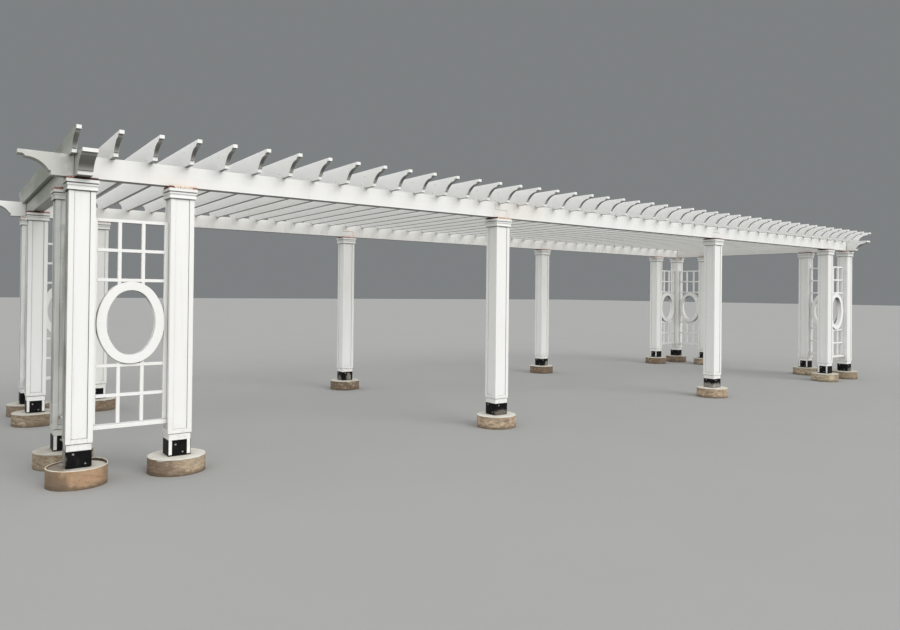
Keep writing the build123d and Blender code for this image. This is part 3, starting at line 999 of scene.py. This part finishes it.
# Each pier's tone, then its tube's tone, how far its rim is torn, how deep its wrinkles are, and the swell.
PIER_WEAR = {
    "post_front_1": (0.66, 0.90, 0.001, 0.0008, -0.007),
    "post_front_2": (1.00, 0.64, 0.010, 0.0030, 0.006),
    "post_front_3": (1.00, 0.72, 0.003, 0.0012, 0.000),
    "post_front_4": (0.95, 0.74, 0.004, 0.0015, 0.000),
    "post_front_5": (0.70, 0.50, 0.003, 0.0015, 0.002),
    "post_front_6": (0.60, 0.45, 0.005, 0.0015, 0.000),
    "post_left_front": (0.45, 0.40, 0.003, 0.0020, 0.008),
    "post_left_back": (0.50, 0.30, 0.007, 0.0020, 0.003),
    "post_right_front": (0.65, 0.46, 0.003, 0.0015, 0.000),
    "post_right_back": (0.60, 0.42, 0.005, 0.0015, -0.002),
    "post_back_1": (0.55, 0.30, 0.005, 0.0020, 0.000),
    "post_back_2": (0.80, 0.22, 0.008, 0.0020, 0.004),
    "post_back_3": (0.65, 0.10, 0.016, 0.0035, 0.000),
    "post_back_4": (0.85, 0.08, 0.005, 0.0020, -0.002),
    "post_back_5": (0.75, 0.14, 0.005, 0.0020, 0.000),
    "post_back_6": (0.60, 0.20, 0.008, 0.0025, 0.003),
}
# Corners of a pier's top edge, from its side or from its lip, as (outward, above the top).
BARE_EDGE = [(-0.004, -0.003)]
LIP_EDGE = [(0.001, -0.004), (-0.003, -0.001)]
LIP_RAGS = {"wide": 0.004, "fine": 0.0016}
# One tube stands proud of its concrete all round and gapes on one side.
PROUD_POST = "post_front_1"
RIM_UP = 0.010
RIM_WAVE = 0.0015
GAPE_ANGLE = math.radians(38)
GAPE_WIDTH = math.radians(58)
GAPE_OUT = 0.015
GAPE_UP = 0.010
CARD_ROWS = 24
CARD_GAP = 0.0004
RIM_EASE = (0.002, 0.0015)
FOLD_PITCH = 0.030
SEAT_R = 0.145
TOP_INSET = 0.012
TOP_RINGS = [0.20, 0.175, SEAT_R, 0.02]
TOP_SAG = 0.0014
TOP_WAVE = 0.0016


def piers():
    """Concrete piers with a trowelled top and an uneven lip over the tube."""
    boards = Boards("pier_concrete", "concrete")
    for name, (x, y) in POSTS.items():
        tone, _, _, _, swell = PIER_WEAR[name]
        side = PIER_R + swell
        lip = side + TUBE_WALL
        low = PIER_TOP - LIP_H
        profile = [(side, 0.0), (side, low)]
        if name == PROUD_POST:
            profile += [(side + out, PIER_TOP + up) for out, up in BARE_EDGE]
        else:
            profile += [(lip, low), *((lip + out, PIER_TOP + up) for out, up in LIP_EDGE)]
        profile += [(radius, PIER_TOP) for radius in [side - TOP_INSET, *TOP_RINGS]]

        def shape(angle, radius, z):
            ragged = ripple(angle, 3.0, x, y, 1) * LIP_RAGS["wide"]
            ragged += ripple(angle, 14.0, x, y, 2) * LIP_RAGS["fine"]
            if radius > side + TUBE_WALL / 2:
                z -= abs(ragged) * 0.5 if z == low else 0.0
                radius += ragged
            if z > low and radius > SEAT_R:
                spot = Vector((x + radius * math.cos(angle), radius * math.sin(angle), y))
                z -= TOP_SAG + TOP_WAVE * noise.noise(spot * 12)
            return radius, z

        lathe(boards, x, y, profile, shape, tone)
    boards.object(concrete(), "concrete_piers")


def tubes():
    """Cardboard form tubes: wrinkled walls and torn rims, and one that has come away on one side."""
    boards = Boards("form_tube_card", "form_card")
    for name, (x, y) in POSTS.items():
        _, tone, tear, wrinkle, swell = PIER_WEAR[name]
        inner = PIER_R + swell + CARD_GAP
        outer = inner + TUBE_WALL - 2 * CARD_GAP
        proud = name == PROUD_POST
        top = PIER_TOP + RIM_UP if proud else PIER_TOP - LIP_H - CARD_GAP
        wall = [(outer, top * k / CARD_ROWS) for k in range(CARD_ROWS)]
        inward, down = RIM_EASE
        rim = [(outer, top - down), (outer - inward, top), (inner + inward, top), (inner, top - down)]
        profile = [*wall, *rim, (inner, PIER_TOP - LIP_H), (inner, 0.0)]

        def shape(angle, radius, z):
            share = z / top
            turn = z / FOLD_PITCH + 0.8 * ripple(angle, 2.0, x, y, 0)
            fold = 0.6 * math.sin(2 * math.pi * turn) + ripple(angle, 6.0, x, y, z * 50)
            rag = max(0.0, ripple(angle, 2.2, x, y, 4)) * 2.2 + abs(ripple(angle, 12.0, x, y, 5)) * 0.5
            if radius > inner + TUBE_WALL / 4:
                radius += wrinkle * (fold * (0.25 + 0.75 * (1 - share)) + 0.6 * (1 - share) ** 2)
            z = max(0.0, z - share**3 * tear * rag)
            off = abs((angle - GAPE_ANGLE + math.pi) % (2 * math.pi) - math.pi) / GAPE_WIDTH
            if proud:
                z += RIM_WAVE * ripple(angle, 4.0, 7, 7, 7) * share
            if proud and off < 1:
                opening = math.cos(off * math.pi / 2) ** 2
                radius += GAPE_OUT * opening * (0.3 + 0.7 * share)
                z += GAPE_UP * opening * share
            return radius, z

        lathe(boards, x, y, profile, shape, tone, closed=True)
    boards.object(form_card(), "form_tubes")


BOOT_FACE = 0.097
BOOT_R = 0.015
BOOT_TURN = 6
FOOT_STEPS = 5


def rounded_square(half, radius):
    """Points round a square with rounded corners."""
    points = []
    for quarter in range(4):
        for k in range(BOOT_TURN + 1):
            angle = (quarter + k / BOOT_TURN) * math.pi / 2
            corner = Matrix.Rotation(quarter * math.pi / 2, 2) @ Vector((half - radius, half - radius))
            points.append((corner.x + radius * math.cos(angle), corner.y + radius * math.sin(angle)))
    return points


def boots():
    """Steel boots, rounded at their uprights and round the foot."""
    boards = Boards("boot_shells", "black_steel")
    height = BASE_TOP - PIER_TOP
    rows = []
    for k in range(1, FOOT_STEPS + 1):
        angle = k / FOOT_STEPS * math.pi / 2
        rows.append((BOOT_R * (1 - math.sin(angle)), BOOT_R * (1 - math.cos(angle))))
    rows[0] = (rows[0][0], 0.0)
    rows += [(0.0, height - EASE), (EASE, height)]
    for name, (x, y) in POSTS.items():
        if name in LEGGED:
            continue
        bm = bmesh.new()
        loops = []
        for inset, rise in rows:
            outline = rounded_square(BOOT_FACE - inset, BOOT_R - inset)
            loops.append([bm.verts.new((a, b, PIER_TOP + rise)) for a, b in outline])
        skin(bm, loops)
        boards.add(bm, 2, turned(x, y), 0)
    boards.object(STEEL, "steel_boots")


FOOT_REACH = 0.096
FOOT_T = 0.010
WEB_HALF = 0.064
WEB_FACE = 0.088
PLATE_T = 0.004


def leg_bases():
    """Steel bases between four corner legs: foot plate, bolted block and two full-width side plates."""
    boards = Boards("leg_base_plates", "black_steel")
    band = BAND_W / 2
    foot_top = PIER_TOP + FOOT_T
    corner = [(WEB_HALF, -WEB_FACE), (WEB_HALF, -WEB_HALF), (WEB_FACE, -WEB_HALF)]
    quarters = [Matrix.Rotation(quarter * math.pi / 2, 2) for quarter in range(4)]
    cross = [(turn @ Vector(point))[:] for turn in quarters for point in corner]
    for name in LEGGED:
        x, y = POSTS[name]
        place = turned(x, y, 0 if name in OPEN_FORWARD else 1)
        boards.box((-FOOT_REACH, -FOOT_REACH, PIER_TOP), (FOOT_REACH, FOOT_REACH, foot_top), 0, place)
        boards.prism(cross, foot_top, BASE_TOP, 2, 2, place)
        for side in (-1, 1):
            low, high = sorted((side * band, side * (band + PLATE_T)))
            boards.box((low, -band, foot_top), (high, band, BASE_TOP), 2, place)
    boards.object(STEEL, "steel_leg_bases")


BOLT_R = 0.0060
BOLT_T = 0.005
WASHER_R = 0.0085
WASHER_T = 0.0015
LOW_BOLT = 0.8
BOOT_BOLTS = [(-0.042, 0.118), (0.048, 0.034)]
WEB_BOLTS = [(-0.033, 0.101), (0.028, 0.031)]


def bolts():
    """Two bolts on a diagonal on each open face of the steel bases."""
    boards = Boards("base_bolts", "black_steel")
    for name, (x, y) in POSTS.items():
        if name not in LEGGED:
            faces, out, spots = range(4), BOOT_FACE, BOOT_BOLTS
        else:
            faces, out, spots = ((0, 2) if name in OPEN_FORWARD else (1, 3)), WEB_FACE, WEB_BOLTS
        for quarter in faces:
            place = turned(x, y, quarter)
            normal = place.to_3x3() @ Vector((0, -1, 0))
            for (across, rise), size in zip(spots, (1.0, LOW_BOLT)):
                spot = place @ Vector((across, -out, PIER_TOP + rise))
                disc(boards, spot, normal, WASHER_R * size, WASHER_T, 20)
                disc(boards, spot + normal * WASHER_T, normal, BOLT_R * size, BOLT_T, 6)
    boards.object(zinc())


# Stage: floor, light and camera.

FLOOR_REACH = 150.0
FLOOR_PALE = (0.425, 0.425, 0.415)
FLOOR_PALER = (0.435, 0.435, 0.425)
FLOOR_BOUNCE = (0.42, 0.42, 0.39)
SKY_LIGHT = (0.97, 0.985, 1.0)
SKY_LOW = 1.06
SKY_HIGH = 0.42
BACKDROP = (0.21, 0.22, 0.225)


def floor():
    """Plain pale floor, with the light it throws back set apart from the paleness that the lens sees."""
    mesh = bpy.data.meshes.new("floor")
    corners = [(x * FLOOR_REACH, y * FLOOR_REACH, 0) for x, y in ((-1, -1), (1, -1), (1, 1), (-1, 1))]
    mesh.from_pydata(corners, [], [(0, 1, 2, 3)])
    m = Shade("floor", roughness=0.9)
    m.set("Specular IOR Level", 0.0)
    cloud = m.noise(m.place, 0.6, 3.0)
    pale = m.ramp(cloud, (0.3, FLOOR_PALE), (0.7, FLOOR_PALER))
    m.set("Base Color", m.mix(m.seen(), FLOOR_BOUNCE, pale))
    mesh.materials.append(m.material)
    piece = linked("floor", mesh)


def world():
    """Soft sky, brighter low down, with a plain grey backdrop where the lens looks past the object."""
    sky = bpy.data.worlds.new("sky")
    bpy.context.scene.world = sky
    n = Nodes(sky)
    light = n.tree.nodes["Background"]
    rise = n.split(n.node("TexCoord").outputs["Generated"])["Z"]
    strength = n.node("MapRange", {"Value": rise, "To Min": SKY_LOW, "To Max": SKY_HIGH})
    n.put(light.inputs["Color"], SKY_LIGHT)
    n.put(light.inputs["Strength"], strength.outputs["Result"])
    plain = n.node("Background", {"Color": BACKDROP})
    either = n.node("MixShader", {0: n.seen(), 1: light.outputs[0], 2: plain.outputs[0]})
    n.put(n.tree.nodes["World Output"].inputs["Surface"], either.outputs[0])


def lamp(name, direction, strength, spread, colour):
    """A wide soft lamp that shines from `direction` over the whole object."""
    data = bpy.data.lights.new(name, "SUN")
    data.energy = strength * math.pi
    data.angle = math.radians(spread)
    data.color = colour
    linked(name, data).rotation_euler = Vector(direction).to_track_quat("Z", "Y").to_euler()


def camera():
    """The photograph's camera, fitted to the rows of posts and rafters."""
    data = bpy.data.cameras.new("camera")
    data.sensor_width = 36
    data.lens = 27.935
    data.shift_x = -0.0232
    data.shift_y = -0.0299
    eye = (-7.706, -8.6365, 1.6204)
    yaw, pitch, roll = (math.radians(a) for a in (37.263, 0.448, 0.579))
    forward = Vector((math.sin(yaw) * math.cos(pitch), math.cos(yaw) * math.cos(pitch), math.sin(pitch)))
    level_right = Vector((math.cos(yaw), -math.sin(yaw), 0))
    right = level_right * math.cos(roll) + level_right.cross(forward) * math.sin(roll)
    up = right.cross(forward)
    axes = Matrix((right, up, -forward)).transposed().to_4x4()
    made = linked("camera", data)
    made.matrix_world = Matrix.Translation(eye) @ axes
    bpy.context.scene.camera = made


camera()
for name in POSTS:
    post(name)
caps()
shims()
beams()
rafters()
screws()
for node in frame["nodes"]:
    if node.startswith("trellis_"):
        trellis(node)
piers()
tubes()
bolts()
boots()
leg_bases()
floor()
world()
lamp("key", (0.22, -0.82, 0.50), 0.48, 45, (1.0, 0.985, 0.965))
lamp("left_fill", (-0.90, -0.12, 0.42), 0.18, 100, (0.98, 0.99, 1.0))
lamp("back_fill", (-0.20, 0.92, 0.33), 0.14, 90, (0.98, 0.99, 1.0))
bpy.context.scene.view_settings.view_transform = "Standard"
